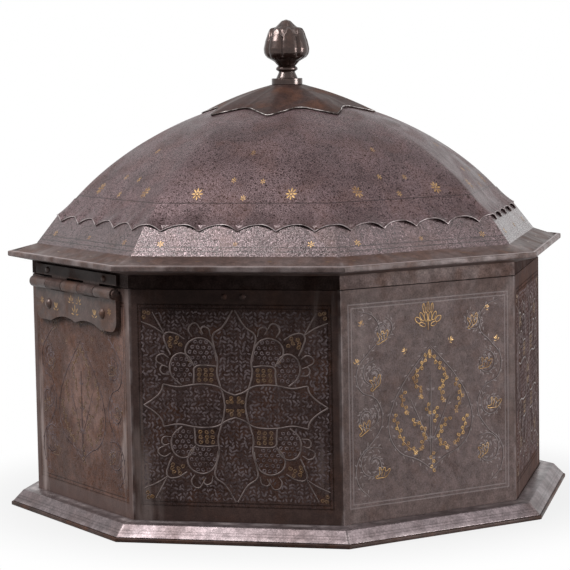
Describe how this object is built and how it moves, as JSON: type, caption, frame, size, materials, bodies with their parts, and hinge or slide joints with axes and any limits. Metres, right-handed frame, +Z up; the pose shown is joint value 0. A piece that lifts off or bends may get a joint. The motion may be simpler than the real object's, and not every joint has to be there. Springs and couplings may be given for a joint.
{
  "type": "octagonal casket",
  "caption": "Octagonal iron casket with plate walls on a splayed foot, a hinged domed lid with a flared cornice, scalloped band, petalled crown and lotus-bud knob.",
  "frame": {"origin": "centre of the underside of the base plate", "axes": "+Z up through the knob; the wall the picture shows as its front faces -Y; the hinge is on the wall between front and left, facing -X -Y"},
  "size_m": [0.22, 0.22, 0.1982],
  "materials": {
    "inlaid_wall": "dark patinated iron with worn gold and silver inlay",
    "inlaid_lid": "dark patinated iron with worn gold and silver inlay",
    "finial_iron": "dark patinated iron with worn gold and silver inlay",
    "foot_iron": "dark patinated iron with worn gold and silver inlay",
    "hinge_iron": "dark patinated iron with worn gold and silver inlay",
    "bare_iron": "plain dark iron"
  },
  "bodies": {
    "casket": {"base_plate": "bare_iron", "base_flange": "foot_iron", "wall_front": "inlaid_wall", "wall_front_right": "inlaid_wall", "wall_right": "inlaid_wall", "wall_back_right": "inlaid_wall", "wall_back": "inlaid_wall", "wall_back_left": "inlaid_wall", "wall_left": "inlaid_wall", "wall_front_left": "inlaid_wall", "inner_rim": "bare_iron", "rim_rivets": "hinge_iron", "hinge_leaf_lower": "hinge_iron", "hinge_rivets_lower": "hinge_iron", "hinge_pin": "hinge_iron"},
    "lid": {"lid_skirt": "inlaid_lid", "cornice": "inlaid_lid", "dome_shell": "inlaid_lid", "dome_band": "inlaid_lid", "crown_cap": "inlaid_lid", "finial_plinth": "finial_iron", "finial_washer": "bare_iron", "finial_stem": "finial_iron", "finial_bud": "finial_iron", "hinge_leaf_upper": "hinge_iron", "hinge_rivets_upper": "hinge_iron"}
  },
  "joints": [
    {"name": "lid_hinge", "type": "hinge", "parent": "casket", "child": "lid", "pos_m": [-0.07209, -0.07209, 0.09375], "axis": [0.7071, -0.7071, 0], "range_deg": [0, 130]}
  ]
}
